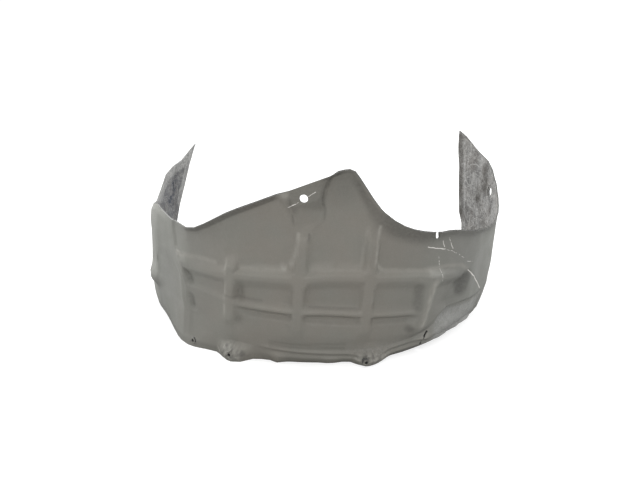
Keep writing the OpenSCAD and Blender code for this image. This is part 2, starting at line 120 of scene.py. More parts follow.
# %% Floor
FLOOR_SIZE = 40
FLOOR_GREY = 0.35
FLOOR_GLOW = 0.75
bpy.ops.object.select_all(action="DESELECT")
bpy.ops.mesh.primitive_plane_add(size=FLOOR_SIZE, location=(0, 0, 0))
floor = bpy.context.object
floor.name = "floor"
white = bpy.data.materials.new("white_floor")
white.use_nodes = True
nodes, links = white.node_tree.nodes, white.node_tree.links
nodes.clear()
out = nodes.new("ShaderNodeOutputMaterial")
paint = nodes.new("ShaderNodeBsdfDiffuse")
paint.inputs["Color"].default_value = (FLOOR_GREY, FLOOR_GREY, FLOOR_GREY, 1)
glow = nodes.new("ShaderNodeEmission")
path = nodes.new("ShaderNodeLightPath")
lift = nodes.new("ShaderNodeMath")
lift.operation = "MULTIPLY"
lift.inputs[1].default_value = FLOOR_GLOW
both = nodes.new("ShaderNodeAddShader")
links.new(path.outputs["Is Camera Ray"], lift.inputs[0])
links.new(lift.outputs[0], glow.inputs["Strength"])
links.new(paint.outputs[0], both.inputs[0])
links.new(glow.outputs[0], both.inputs[1])
links.new(both.outputs[0], out.inputs["Surface"])
floor.data.materials.append(white)
print("Floor", tuple(round(d, 1) for d in floor.dimensions))

# %% Room
ROOM_LIGHT = 0.9
world = bpy.context.scene.world or bpy.data.worlds.new("studio")
bpy.context.scene.world = world
world.use_nodes = True
nodes, links = world.node_tree.nodes, world.node_tree.links
nodes.clear()
out = nodes.new("ShaderNodeOutputWorld")
room = nodes.new("ShaderNodeBackground")
room.inputs["Color"].default_value = (1, 1, 1, 1)
room.inputs["Strength"].default_value = ROOM_LIGHT
backdrop = nodes.new("ShaderNodeBackground")
backdrop.inputs["Color"].default_value = (1, 1, 1, 1)
backdrop.inputs["Strength"].default_value = 1.0
path = nodes.new("ShaderNodeLightPath")
seen = nodes.new("ShaderNodeMath")
seen.operation = "MAXIMUM"
pick = nodes.new("ShaderNodeMixShader")
links.new(path.outputs["Is Camera Ray"], seen.inputs[0])
links.new(path.outputs["Is Transmission Ray"], seen.inputs[1])
links.new(seen.outputs[0], pick.inputs["Fac"])
links.new(room.outputs[0], pick.inputs[1])
links.new(backdrop.outputs[0], pick.inputs[2])
links.new(pick.outputs[0], out.inputs["Surface"])
print("Room light:", ROOM_LIGHT)

# %% Lamps: name, place and size in metres, power in watts
LAMP_AIM = Vector((0, 0, 0.15))
LAMPS = [
    ("left_lamp", (-2.1, 1.1, 1.2), 1.4, 38),
    ("right_lamp", (2.1, 1.1, 1.2), 1.4, 32),
    ("top_lamp", (0.0, 0.3, 2.6), 2.2, 80),
    ("low_lamp", (-0.3, -2.6, 0.3), 1.4, 10),
]
for name, place, size, power in LAMPS:
    bpy.ops.object.select_all(action="DESELECT")
    aim = (LAMP_AIM - Vector(place)).to_track_quat("-Z", "Y").to_euler()
    bpy.ops.object.light_add(type="AREA", location=place, rotation=aim)
    lamp = bpy.context.object
    lamp.name = name
    lamp.data.shape = "DISK"
    lamp.data.size = size
    lamp.data.energy = power
bpy.context.scene.view_settings.view_transform = "Standard"
print("Lamps:", len(LAMPS))

# %% [markdown]
# ## The moulded sheet
#
# The solid is made of flat triangles. A press gives the real felt no flat facets and no
# sharp bends, so a copy of the solid is merged, its triangles are joined to quads, and a
# subdivision surface rounds them. Bends in the sheet get about half a crease and stay tight.
# The cut edges of the sheet and of its holes get a full one, so they stay as sharp as the
# knife left them.

# %% Copy of the solid
SAME_POINT = 0.00002
QUAD_BEND = math.radians(60)
QUAD_SKEW = math.radians(80)
CREASES = ((13, 0.45), (62, 1))  # least bend in degrees, crease
sheet = bpy.data.objects.new("moulded_felt", solid.data.copy())
bpy.context.scene.collection.objects.link(sheet)
sheet.data.materials.clear()
bpy.ops.object.select_all(action="DESELECT")
sheet.select_set(True)
bpy.context.view_layer.objects.active = sheet
bpy.ops.object.mode_set(mode="EDIT")
bpy.ops.mesh.select_all(action="SELECT")
bpy.ops.mesh.remove_doubles(threshold=SAME_POINT)
bpy.ops.mesh.tris_convert_to_quads(face_threshold=QUAD_BEND, shape_threshold=QUAD_SKEW)
for bend, crease in CREASES:
    bpy.ops.mesh.select_all(action="DESELECT")
    bpy.ops.mesh.edges_select_sharp(sharpness=math.radians(bend))
    bpy.ops.transform.edge_crease(value=crease)
bpy.ops.mesh.select_all(action="DESELECT")
bpy.ops.object.mode_set(mode="OBJECT")
quads = sum(len(p.vertices) == 4 for p in sheet.data.polygons)
print("Faces:", len(sheet.data.polygons), "of them quads:", quads)

# %% [markdown]
# The two faces of the sheet and its cut edge are different materials. The cut edge meets
# both faces at sharp corners, so the mesh is split into regions at its sharp edges. The
# large region that looks outwards is the film, the one that looks inwards is the felt,
# and the narrow ones between them are the cut edge, which gets the full crease. The
# subdivision hands the materials on to the finer faces.

# %% Film, felt and cut edge
FILM, FELT, EDGE = 0, 1, 2
FACE_NAMES = ("film_face", "felt_face", "cut_edge")
SIDE_BEND = math.radians(45)
LARGE_AREA = 0.1  # square metres: each face of the sheet is larger, the cut edge smaller
SQUARE_ON = 0.9  # a small region that looks this straight outwards or inwards is no edge
for name in FACE_NAMES:
    material = bpy.data.materials.new(name)
    material.use_nodes = True
    sheet.data.materials.append(material)


def region_from(first, free):
    """All free faces that can be reached from one face without crossing a sharp edge."""
    region, front = [first], [first]
    free.discard(first)
    while front:
        for edge in front.pop().edges:
            if len(edge.link_faces) == 2 and edge.calc_face_angle() < SIDE_BEND:
                for face in edge.link_faces:
                    if face in free:
                        free.discard(face)
                        region.append(face)
                        front.append(face)
    return region


shape = bmesh.new()
shape.from_mesh(sheet.data)
creases = shape.edges.layers.float["crease_edge"]
free = set(shape.faces)
counts = [0, 0, 0]
for first in list(shape.faces):
    if first not in free:
        continue
    region = region_from(first, free)
    area = sum(face.calc_area() for face in region)
    middles = np.array([face.calc_center_median() for face in region])
    normals = np.array([face.normal * face.calc_area() for face in region])
    facing = (normals * arch_places(middles)[2]).sum() / area
    if area < LARGE_AREA and abs(facing) < SQUARE_ON:
        side = EDGE
    else:
        side = FILM if facing > 0 else FELT
    counts[side] += len(region)
    for face in region:
        face.material_index = side
for edge in shape.edges:
    if len({face.material_index for face in edge.link_faces}) > 1:
        edge[creases] = 1
shape.to_mesh(sheet.data)
shape.free()
print("Faces:", dict(zip(FACE_NAMES, counts)))

# %% Rounded skin
ROUNDS = 2
SHARE_KEPT = 0.93
rounding = sheet.modifiers.new("rounding", "SUBSURF")
rounding.levels = rounding.render_levels = ROUNDS
bpy.ops.object.modifier_apply(modifier=rounding.name)
thinning = sheet.modifiers.new("thinning", "DECIMATE")
thinning.ratio = SHARE_KEPT
bpy.ops.object.modifier_apply(modifier=thinning.name)
mesh = sheet.data
print("Triangles of the rounded skin:", sum(len(p.vertices) - 2 for p in mesh.polygons))

# %% [markdown]
# ## Dents and waves
#
# A used liner is never as true as its mould. It has a deep dimple at its right corner,
# dents round its bosses and slow waves in its legs. They are pressed into the fine mesh
# by moving its points along the radius, both faces of the sheet alike, so that it keeps
# its thickness. Moving points suits such soft forms, because they have no edges.

# %% Marks on the map
WAVE_SETS = 12


def read(items, field, size):
    """A field of mesh elements as an array of rows."""
    values = np.empty(len(items) * size)
    items.foreach_get(field, values)
    return values.reshape(-1, size)


points = read(mesh.vertices, "co", 3)
angle, level, outward = arch_places(points)
flat = np.stack((angle * MM_A_DEGREE, level), axis=1)


def spot(place, half_angle, half_level, tilt=0.0, soft=0.8):
    """1 in the middle of an oval round a place, 0 beyond its edge."""
    d = flat - np.array((place[0] * MM_A_DEGREE, place[1]))
    c, s = math.cos(math.radians(tilt)), math.sin(math.radians(tilt))
    across, up = d[:, 0] * c + d[:, 1] * s, d[:, 1] * c - d[:, 0] * s
    return ease(np.hypot(across / (half_angle * MM_A_DEGREE), up / half_level), 1, 1 - soft)


def stroke(places, half_width, soft=0.8):
    """1 along a line through places, 0 beyond its half width in millimetres."""
    line = [np.array((a * MM_A_DEGREE, w)) for a, w in places]
    near = np.full(len(flat), 1e9)
    for start, end in zip(line, line[1:]):
        way = end - start
        share = np.clip((flat - start) @ way / (way @ way), 0, 1)
        near = np.minimum(near, np.linalg.norm(flat - start - share[:, None] * way, axis=1))
    return ease(near, half_width, half_width * (1 - soft))


def waves(size, seed):
    """Smooth random waves, mostly from -1 to 1, about size millimetres long."""
    random = np.random.default_rng(seed)
    total = np.zeros(len(flat))
    for _ in range(WAVE_SETS):
        turn, phase = random.uniform(0, 2 * math.pi, 2)
        way = np.array((math.cos(turn), math.sin(turn))) * random.uniform(0.6, 1.5)
        total += np.sin(flat @ way * 2 * math.pi / size + phase)
    return 3 / WAVE_SETS * total


print("Points of the fine mesh:", len(flat))

# %% Dents: millimetres outwards, less than zero inwards
HOLES = (  # angle, level, half length and reach of the place that stays true
    (97.7, 239, 0.5, 26),
    (-7.6, 318, 1, 30),
)
FLOOR_FADE = 12  # nothing moves at the floor, everything this far above it
SMOOTH_BEND = math.radians(40)
legs = ease(np.abs(angle), 78, 96)
bosses = spot((-27, 0), 7, 26) + spot((17, 20), 9, 22)
right_folds = ease(angle, 38, 46) * ease(angle, 74, 66) * ease(level, 92, 76)
push = (
    -5.0 * spot((50.0, 134), 3.3, 34, tilt=-14)
    - 0.7 * spot((-25.6, 121), 1.5, 15)
    - 0.7 * spot((-25.6, 66), 1.5, 13)
    + 0.5 * bosses * waves(14, 3)
    + 1.3 * right_folds * waves(28, 5)
    + 0.8 * legs * waves(70, 8)
    + 0.25 * waves(45, 11)
)
keep_true = sum(stroke([(a, w - half), (a, w + half)], reach) for a, w, half, reach in HOLES)
push *= 1 - np.clip(keep_true, 0, 1)
push *= ease(1000 * points[:, 2], 0, FLOOR_FADE)
points += 0.001 * push[:, None] * outward
mesh.vertices.foreach_set("co", points.ravel())
mesh.update()
bpy.ops.object.shade_smooth_by_angle(angle=SMOOTH_BEND)
print("Deepest dent and highest wave, in mm:", push.min().round(1), push.max().round(1))

# %% [markdown]
# ## The flat map
#
# The unrolled map becomes the mesh's UV map, in metres. Fibres, flecks and scratches are
# drawn on it, so they follow the sheet round the arch and keep one size everywhere.

# %% UV map
corners = np.empty(len(mesh.loops), dtype=np.int32)
mesh.loops.foreach_get("vertex_index", corners)
uv_map = mesh.uv_layers.new(name="arch")
uv_map.data.foreach_set("uv", (flat[corners] / 1000).ravel())
print("Map, in metres:", (flat.max(axis=0) / 1000 - flat.min(axis=0) / 1000).round(3))

# %% [markdown]
# ## Painted shade, painted highlights, soil, wear and scuffs
#
# Painted shade lies in the hollows, in the holes and under the top edge, with some road
# dirt. The crests and lit walls of the ribs are painted pale, partly as highlights and partly
# as wear. Under the ridge at the right corner the film is scuffed by stones. Each of these is
# a mask on the mesh's points, painted on the map with the spots and strokes above, and read by the
# materials.

# %% Which points lie on the film
face_side = np.empty(len(mesh.polygons), dtype=np.int32)
mesh.polygons.foreach_get("material_index", face_side)
face_corners = np.empty(len(mesh.polygons), dtype=np.int32)
mesh.polygons.foreach_get("loop_total", face_corners)
corner_side = np.repeat(face_side, face_corners)
on_film = np.zeros(len(flat), dtype=bool)
on_film[corners[corner_side == FILM]] = True
print("Points on the film:", int(on_film.sum()))

# %% Distance below the top edge
WIDEST_ANGLE = 130
HOLE_CLEAR = 11  # millimetres round a hole that don't count as top edge
SPLIT_AT = 34
SPLIT_CLEAR = 2.5
SPLIT_MOUTH = 3  # millimetres of the split that do count
on_edge = np.zeros(len(flat), dtype=bool)
on_edge[corners[corner_side == EDGE]] = True
slots = np.round(angle).astype(int) + WIDEST_ANGLE
highest = np.zeros(2 * WIDEST_ANGLE + 1)
np.maximum.at(highest, slots, level)
rim = on_film & on_edge & (level > 0.6 * highest[slots])
for a, w, _, _ in HOLES:
    rim &= np.hypot(flat[:, 0] - a * MM_A_DEGREE, level - w) > HOLE_CLEAR
rim &= (np.abs(angle - SPLIT_AT) > SPLIT_CLEAR) | (level > highest[slots] - SPLIT_MOUTH)
rim_points = KDTree(int(rim.sum()))
for i, (u, v) in enumerate(flat[rim]):
    rim_points.insert((u, v, 0), i)
rim_points.balance()
below = np.array([rim_points.find((u, v, 0))[2] for u, v in flat])
print("Points along the top edge:", int(rim.sum()))

# %% Painted shade under the top edge: narrow, crisp on the left; broad, soft on the right
def along(*pairs):
    """A value that changes with the angle, given as (angle, value) pairs."""
    return np.interp(angle, [p[0] for p in pairs], [p[1] for p in pairs])


strip_width = along((-46, 7), (-38, 8), (-24, 9), (-14, 8), (-3, 8), (1, 6.5), (5, 5))
strip = along((-50, 0), (-45, 0.4), (-17, 0.4), (-15, 0),
              (-2.6, 0), (-1.4, 0.4), (2, 0.4), (5, 0.2), (7, 0))
strip = strip * ease(below, strip_width + 1.5, strip_width - 1.5)
shade = along((4, 0), (8, 0.26), (14, 0.28), (18, 0.36), (30, 0.36),
              (36, 0.3), (44, 0.20), (60, 0.20), (90, 0.22))
shade_end = along((8, 22), (14, 40), (30, 34), (44, 22), (60, 30), (90, 45))
shade_full = along((8, 8), (18, 14), (30, 14), (40, 4), (60, 2))
shade = shade * ease(below, shade_end, shade_full)
shade = shade * (1 - 0.6 * ease(below, 6, 3) * ease(angle, 17, 13))
pad = ease(angle, -13, -11.5) * ease(angle, -1.5, -2.6) * ease(level, 290, 306)
print("Darkest part of the border:", (strip + shade).max().round(2))

# %% Masks of the film
peak = spot((4, 350), 9, 75, soft=1)
ridge_line = [(37.3, 45), (40.8, 63), (42.8, 78), (46.6, 89), (54, 87), (63, 83), (72, 79)]
ridge = np.interp(angle, [p[0] for p in ridge_line], [p[1] for p in ridge_line])
# Mostly painted shade in hollows, creases, holes and under edges, with some dirt
film_shade_and_soil = (
    # Painted shade along the border and below the peak; the pad is made darker
    strip + shade + 0.21 * pad
    + 0.19 * peak
    # Painted shade in the bays, on the swelling, in the dimple, in the slots beside the ribs, in a
    # spot on the left flank, and in the groove and pocket at the right rib
    + 0.06 * spot((2, 142), 17, 36)
    + 0.20 * spot((-71, 60), 9, 26)
    + 0.42 * spot((50.3, 135), 2.7, 33, tilt=-14, soft=0.45)
    + 0.12 * (spot((-45.7, 115), 1.3, 15) + spot((-44.5, 66), 1.3, 13))
    + 0.14 * (spot((-25.8, 121), 1.3, 15) + spot((-25.8, 66), 1.3, 13))
    + 0.35 * spot((-67.5, 107), 1.2, 13)
    + 0.30 * stroke([(30.3, 152), (30.0, 112)], 12)
    + 0.35 * spot((28.4, 70), 2.2, 12, tilt=-20)
    # Painted shade along both sides of the pad and of its rib
    + 0.25 * stroke([(-11.9, 313), (-10.4, 292), (-10.4, 270)], 3)
    + 0.28 * stroke([(-1.0, 354), (-1.4, 345)], 7)
    + 0.20 * stroke([(-1.8, 345), (-2.4, 330), (-2.3, 314), (-1.4, 301), (-1.4, 280)], 3)
    + 0.25 * stroke([(-5.4, 253), (-5.4, 234)], 3)
    # Painted shade in the grooves under the bands
    + 0.18 * stroke([(-30.8, 109), (-18.6, 113)], 4)
    + 0.18 * stroke([(-4, 116), (11, 117)], 4)
    + 0.15 * stroke([(-15, 34), (8, 46)], 4)
    + 0.15 * stroke([(-15, 26), (8, 36)], 4)
    # The bosses, darker in patches; painted shade in their holes and along the bottom of the rim on
    # the left
    + 0.28 * bosses * (0.6 + 0.8 * waves(10, 41))
    + 0.50 * spot((-23.2, 4), 1.1, 8)
    + 0.35 * spot((-28.6, 9), 1.3, 4)
    + 0.50 * spot((14.7, 24), 1.7, 5)
    + 0.18 * ease(1000 * points[:, 2], 15, 8) * ease(angle, -20, -28)
)
# Painted highlights on lit crests and walls, with some real wear on the bosses
film_highlight_and_wear = (
    # Painted highlights with some wear on the crests and lit walls of the ribs and of the upper
    # band
    0.75 * stroke([(-8.5, 250), (-8.8, 220), (-9.6, 196), (-12, 181)], 6)
    + 0.35 * stroke([(-52.5, 151), (-41, 163), (-35, 165)], 7)
    + 0.45 * stroke([(-25.6, 170), (-19, 174), (-12, 179)], 7)
    + 0.30 * stroke([(-5.5, 186), (0, 189), (8, 192), (13, 190)], 6)
    + 0.75 * stroke([(15.2, 272), (14.7, 233), (14.6, 206), (17, 191)], 5)
    + 0.25 * stroke([(11.4, 265), (10.9, 235), (10.7, 200)], 4)
    + 0.40 * stroke([(18, 190), (26, 186), (33.5, 182), (41, 182), (47.3, 177), (50.9, 164)], 6)
    + 0.35 * stroke([(-30.5, 178), (-30.5, 150)], 5)
    + 0.35 * stroke([(-30.5, 128), (-30.5, 112)], 5)
    + 0.35 * stroke([(-30.5, 88), (-30.5, 74)], 5)
    + 0.35 * stroke([(15.2, 158), (14.8, 132)], 5)
    # Painted highlights with some wear on the pad, the right corner, its ridge and the ledge above
    # the rim
    + 0.75 * spot((-13.6, 318), 2.4, 11, tilt=20)
    + 0.80 * stroke([(35.2, 152), (34.0, 108), (33.0, 72)], 17) * (0.8 + 0.4 * waves(16, 31))
    + 0.30 * stroke(ridge_line, 5)
    + 0.35 * stroke([(20, 20), (30, 30), (38, 42)], 10)
    # The bosses
    + 0.90 * stroke([(-29.9, 8), (-29.0, 2)], 2.5)
    + 0.80 * stroke([(-33.0, -2), (-31.6, -8)], 2.5)
    + 0.60 * stroke([(11.6, 18), (13.4, 15)], 3)
    + 0.70 * bosses * ease(waves(6, 43), 0.55, 0.9)
)
film_scuff = (
    ease(angle, 37, 42) * ease(angle, 72, 62) * ease(level, ridge + 4, ridge - 6)
    + 0.45 * bosses
    + 0.4 * stroke([(9, 36), (28, 40)], 12)
)
most = [values[on_film].max().round(2) for values in (film_shade_and_soil, film_highlight_and_wear)]
print("Most soil and most wear on the film:", most)

# %% [markdown]
# The felt of the legs is paler along the turned strips at their edges, and smeared with
# dirt in their middles. On the left leg the pale strip is a painted highlight, and the
# middle gets painted bluish shade.

# %% Masks of the felt
left_leg = ease(angle, -70, -90)
felt_soil_and_shade = (
    # The left leg: painted bluish shade over its middle, and smears of dirt
    0.08 * left_leg + 0.42 * left_leg * ease(below, 15, 22)
    + 0.40 * stroke([(-110.9, 195), (-109.5, 158), (-107, 140)], 14)
    + 0.30 * spot((-96, 159), 3, 14)
    # The right leg
    + 0.60 * stroke([(123.4, 311), (121.0, 223), (118.2, 147)], 16, soft=0.5)
    + 0.55 * stroke([(104.4, 272), (103.0, 243)], 24)
    + 0.40 * stroke([(103.0, 243), (107.5, 206)], 20)
    + 0.50 * spot((107.5, 206), 4, 22)
    + 0.55 * spot((94.4, 204), 2.4, 18)
    + 0.55 * stroke([(114.9, 180), (114.4, 142)], 7)
    + 0.35 * spot((100, 165), 2.5, 14)
    + 0.12 * ease(angle, 70, 90)
)
felt_wear_and_light = (
    # The left leg's turned strip: painted highlight
    0.70 * left_leg * ease(below, 21, 16)
    + 0.60 * stroke([(118.9, 275), (118.4, 248), (116.0, 183), (115.4, 160)], 6)
    + 0.45 * stroke([(109.2, 305), (108.4, 268)], 12)
    + 0.40 * stroke([(117.0, 305), (116.6, 285)], 7)
    + 0.35 * spot((-101.3, 161), 4, 12)
)


def store(name, values):
    """Keeps a mask on the mesh's points, from 0 to 1."""
    attribute = mesh.attributes.new(name, "FLOAT", "POINT")
    attribute.data.foreach_set("value", np.clip(values, 0, 1).astype(np.float32))


store("soil_and_shade", np.where(on_film, film_shade_and_soil, felt_soil_and_shade))
store("wear_and_highlight", np.where(on_film, film_highlight_and_wear, felt_wear_and_light))
store("scuff", np.where(on_film, film_scuff, 0))
store("cool", ease(np.abs(angle + 4), 14, 62))
store("pale_edge", ease(angle, -44, -54) * ease(below, 30, 10))
print("Masks:", [a.name for a in mesh.attributes if a.domain == "POINT" and a.data_type == "FLOAT"])

# %% [markdown]
# ## Node groups
#
# Mottling, fibres, and soil with painted shade turn up on more than one face of the sheet,
# and scratches many times on one. Each is built once as a node group with named sockets, and placed
# with its own values. A few helpers keep the node code short: one adds a node and joins its
# sockets, others work out values, and one opens a group.

# %% Helpers for nodes
def join(tree, socket, value):
    """Joins a socket to another one, or sets its value."""
    if isinstance(value, bpy.types.NodeSocket):
        tree.links.new(value, socket)
    else:
        socket.default_value = value


def add(tree, kind, inputs=None, **settings):
    """Adds a node, sets its settings, and joins or sets its inputs."""
    new = tree.nodes.new("ShaderNode" + kind)
    for key, value in settings.items():
        setattr(new, key, value)
    for key, value in (inputs or {}).items():
        join(tree, new.inputs[key], value)
    return new


def maths(tree, operation, a, b=0.0, clamp=False):
    """Result of one operation on two values."""
    return add(tree, "Math", {0: a, 1: b}, operation=operation, use_clamp=clamp).outputs[0]


def times(tree, product, *values):
    """Product of two or more values."""
    for value in values:
        product = maths(tree, "MULTIPLY", product, value)
    return product


def vectors(tree, operation, a, b, give=0):
    """Result of one operation on two vectors."""
    return add(tree, "VectorMath", {0: a, 1: b}, operation=operation).outputs[give]


def step(tree, value, low, high, to_low=0.0, to_high=1.0):
    """Smooth step of a value between two bounds."""
    inputs = {"Value": value, "From Min": low, "From Max": high,
              "To Min": to_low, "To Max": to_high}
    return add(tree, "MapRange", inputs, interpolation_type="SMOOTHSTEP").outputs["Result"]


def blend(tree, share, a, b):
    """Blend of two colours."""
    mixer = add(tree, "Mix", data_type="RGBA", blend_type="MIX")
    for socket, value in ((0, share), (6, a), (7, b)):
        join(tree, mixer.inputs[socket], value)
    return mixer.outputs[2]


def noise(tree, vector, scale, detail=2.0, rough=0.5, warp=0.0):
    """Noise value, with its scale in features per metre."""
    inputs = {"Vector": vector, "Scale": scale, "Detail": detail,
              "Roughness": rough, "Distortion": warp}
    return add(tree, "TexNoise", inputs).outputs["Fac"]


def open_group(name, inputs, outputs):
    """A new node group with its sockets, its input node and its output node."""
    tree = bpy.data.node_groups.new(name, "ShaderNodeTree")
    for label, kind in inputs:
        tree.interface.new_socket(name=label, in_out="INPUT", socket_type="NodeSocket" + kind)
    for label, kind in outputs:
        tree.interface.new_socket(name=label, in_out="OUTPUT", socket_type="NodeSocket" + kind)
    return tree, tree.nodes.new("NodeGroupInput").outputs, tree.nodes.new("NodeGroupOutput").inputs


def use(tree, group, inputs):
    """Places a group in a material and returns its outputs."""
    placed = add(tree, "Group", node_tree=group)
    for key, value in inputs.items():
        join(tree, placed.inputs[key], value)
    return placed.outputs


print("Helpers are ready")

# %% Mottling: slow patches of tone and of tint
ELSEWHERE = (3.1, 1.7, 0.4)
mottle, given, result = open_group(
    "mottling", [("Vector", "Vector"), ("Size", "Float")], [("Tone", "Float"), ("Tint", "Float")])
slow = noise(mottle, given["Vector"], given["Size"], 3, 0.55, 0.4)
small = noise(mottle, given["Vector"], times(mottle, given["Size"], 5), 3, 0.6)
both_sizes = maths(mottle, "ADD", times(mottle, slow, 0.65), times(mottle, small, 0.35))
mottle.links.new(step(mottle, both_sizes, 0.3, 0.7), result["Tone"])
shifted = vectors(mottle, "ADD", given["Vector"], ELSEWHERE)
slow_tint = noise(mottle, shifted, given["Size"], 2)
mottle.links.new(step(mottle, slow_tint, 0.35, 0.65), result["Tint"])
print("Group:", mottle.name)

# %% Fibres: thin crossing strands and short flecks
STRAND_WAYS = (  # stretch, place, turn
    ((1.0, 0.30, 1.0), (0.0, 0.0, 0.0), 0.35),
    ((0.35, 1.0, 1.0), (5.0, 2.0, 0.0), -0.3),
    ((0.8, 0.45, 1.0), (9.0, 4.0, 0.0), 0.9),
)
fibres, given, result = open_group(
    "fibres", [("Vector", "Vector"), ("Size", "Float")],
    [("Pale", "Float"), ("Dark", "Float"), ("Height", "Float")])
strands = []
for stretch, place, turn in STRAND_WAYS:
    moved = add(fibres, "Mapping", {
        "Vector": given["Vector"], "Scale": stretch, "Location": place, "Rotation": (0, 0, turn)})
    value = noise(fibres, moved.outputs[0], given["Size"], 2.5, 0.6, 1.2)
    strands.append(maths(fibres, "ABSOLUTE", maths(fibres, "SUBTRACT", value, 0.5)))
first_pale = step(fibres, strands[0], 0.035, 0.0)
second_pale = step(fibres, strands[1], 0.03, 0.0)
pale = maths(fibres, "MAXIMUM", first_pale, second_pale)
cells = add(fibres, "TexVoronoi", {
    "Vector": given["Vector"], "Scale": times(fibres, given["Size"], 1.6), "Randomness": 1.0})
lot = add(fibres, "SeparateColor", {"Color": cells.outputs["Color"]}).outputs
inside = step(fibres, cells.outputs["Distance"], 0.55, 0.15)
pale_flecks = times(fibres, inside, step(fibres, lot[0], 0.72, 0.9))
dark_flecks = times(fibres, inside, step(fibres, lot[1], 0.68, 0.9))
dark = step(fibres, strands[2], 0.045, 0.0)
fibres.links.new(maths(fibres, "MAXIMUM", pale, pale_flecks), result["Pale"])
fibres.links.new(maths(fibres, "MAXIMUM", dark, dark_flecks), result["Dark"])
fibres.links.new(maths(fibres, "ADD", strands[0], strands[1]), result["Height"])
print("Group:", fibres.name)

# %% Soil and painted shade: a dark colour that gathers unevenly where its mask says
soiling_and_shading, given, result = open_group(
    "soiling_and_shading", [("Color", "Color"), ("Vector", "Vector"), ("Mask", "Float"), ("Shade And Dirt", "Color")],
    [("Color", "Color"), ("Amount", "Float")])
clumps = noise(soiling_and_shading, given["Vector"], 160, 4, 0.65)
patchy = step(soiling_and_shading, clumps, 0.25, 0.75, 0.75, 1.2)
amount = maths(soiling_and_shading, "MULTIPLY", given["Mask"], patchy, clamp=True)
soiling_and_shading.links.new(blend(soiling_and_shading, amount, given["Color"], given["Shade And Dirt"]), result["Color"])
soiling_and_shading.links.new(amount, result["Amount"])
print("Group:", soiling_and_shading.name)

# %% Scratch: a thin broken line between two places of the map
SHAKE = 0.004  # metres that a line wanders, from one side to the other
scratch, given, result = open_group(
    "scratch", [("Vector", "Vector"), ("Start", "Vector"), ("End", "Vector"),
                ("Half Width", "Float"), ("Breaks", "Float")], [("Mask", "Float")])
wobble = add(scratch, "TexNoise", {"Vector": given["Vector"], "Scale": 90, "Detail": 2})
shake = vectors(scratch, "SUBTRACT", wobble.outputs["Color"], (0.5, 0.5, 0.5))
shaken = add(scratch, "VectorMath", {0: shake, "Scale": SHAKE}, operation="SCALE").outputs[0]
here = vectors(scratch, "ADD", given["Vector"], shaken)
way = vectors(scratch, "SUBTRACT", given["End"], given["Start"])
gone = vectors(scratch, "SUBTRACT", here, given["Start"])
dot = vectors(scratch, "DOT_PRODUCT", gone, way, "Value")
length = vectors(scratch, "DOT_PRODUCT", way, way, "Value")
share = maths(scratch, "DIVIDE", dot, length, clamp=True)
foot = add(scratch, "VectorMath", {0: way, "Scale": share}, operation="SCALE").outputs[0]
off = vectors(scratch, "SUBTRACT", gone, foot)
distance = add(scratch, "VectorMath", {0: off}, operation="LENGTH").outputs["Value"]
edge = step(scratch, maths(scratch, "DIVIDE", distance, given["Half Width"]), 1.0, 0.45)
holes = noise(scratch, given["Vector"], 260, 2)
gaps = step(scratch, holes, given["Breaks"], maths(scratch, "ADD", given["Breaks"], 0.08))
scratch.links.new(times(scratch, edge, gaps), result["Mask"])
print("Group:", scratch.name)

# %% [markdown]
# ## Colours
#
# All colours of the sheet stand in one place. Each is the share of red, green and blue
# light that a face throws back.

# %% Colours of the film, the felt and the cut edge
WARM_FILM = (0.218, 0.205, 0.178, 1)
COOL_FILM = (0.204, 0.206, 0.190, 1)
GREEN_FILM = (0.205, 0.210, 0.186, 1)
DARK_PATCH = (0.12, 0.115, 0.105, 1)
PALE_THREAD = (0.5, 0.5, 0.48, 1)
# Painted shade in hollows, holes and under the top edge, with some road dirt
SHADE_AND_ROAD_DIRT = (0.022, 0.021, 0.019, 1)
# Painted highlight on lit crests and walls, and rubbed film
RUBBED_AND_LIT_FILM = (0.330, 0.318, 0.285, 1)
GRAZED_FILM = (0.36, 0.362, 0.352, 1)
PALE_HIT = (0.62, 0.61, 0.58, 1)
DARK_HIT = (0.05, 0.05, 0.048, 1)
# Painted shadow inside the tears
TEAR_SHADOW = (0.012, 0.012, 0.011, 1)
WHITE_FIBRE = (0.72, 0.70, 0.66, 1)
PALE_FELT = (0.235, 0.233, 0.225, 1)
DARK_FELT = (0.045, 0.044, 0.043, 1)
BROWN_FELT = (0.155, 0.138, 0.12, 1)
# Paler felt: wear, and a painted highlight on the left leg's turned strip
CLEAN_AND_LIT_FELT = (0.31, 0.31, 0.305, 1)
BLACK_STRAND = (0.045, 0.045, 0.046, 1)
WHITE_STRAND = (0.52, 0.52, 0.50, 1)
# Painted bluish shade on the left leg, with its dirt
BLUISH_SHADE_AND_DIRT = (0.045, 0.050, 0.062, 1)
BROWN_DIRT = (0.050, 0.046, 0.040, 1)
PRESSED_EDGE = (0.075, 0.074, 0.070, 1)
PRESSED_FIBRE = (0.3, 0.3, 0.29, 1)
FRAYED_EDGE = (0.20, 0.20, 0.195, 1)
FRAYED_DARK = (0.08, 0.08, 0.08, 1)
print("The film's grey:", WARM_FILM[:3])

# %% [markdown]
# ## The film
#
# The outer face is a dull grey film, a little warmer at the front and cooler on the
# flanks. Over its plain colour come slow patches, painted shade with some dirt, rubbed crests
# with painted highlights, the pale, speckled scuffs, painted shadow in the tears, and last the
# scratches, which show the white fibre under the film. The surface is not quite smooth: fibres
# stand through it as a very fine grain.

# %% Film: tone, painted shade with soil, painted highlights with wear
tree = bpy.data.materials["film_face"].node_tree
skin = tree.nodes["Principled BSDF"]
chart = add(tree, "UVMap", uv_map="arch").outputs[0]


def mask(tree, name):
    """A mask that the mesh keeps on its points."""
    return add(tree, "Attribute", attribute_name=name, attribute_type="GEOMETRY").outputs["Fac"]


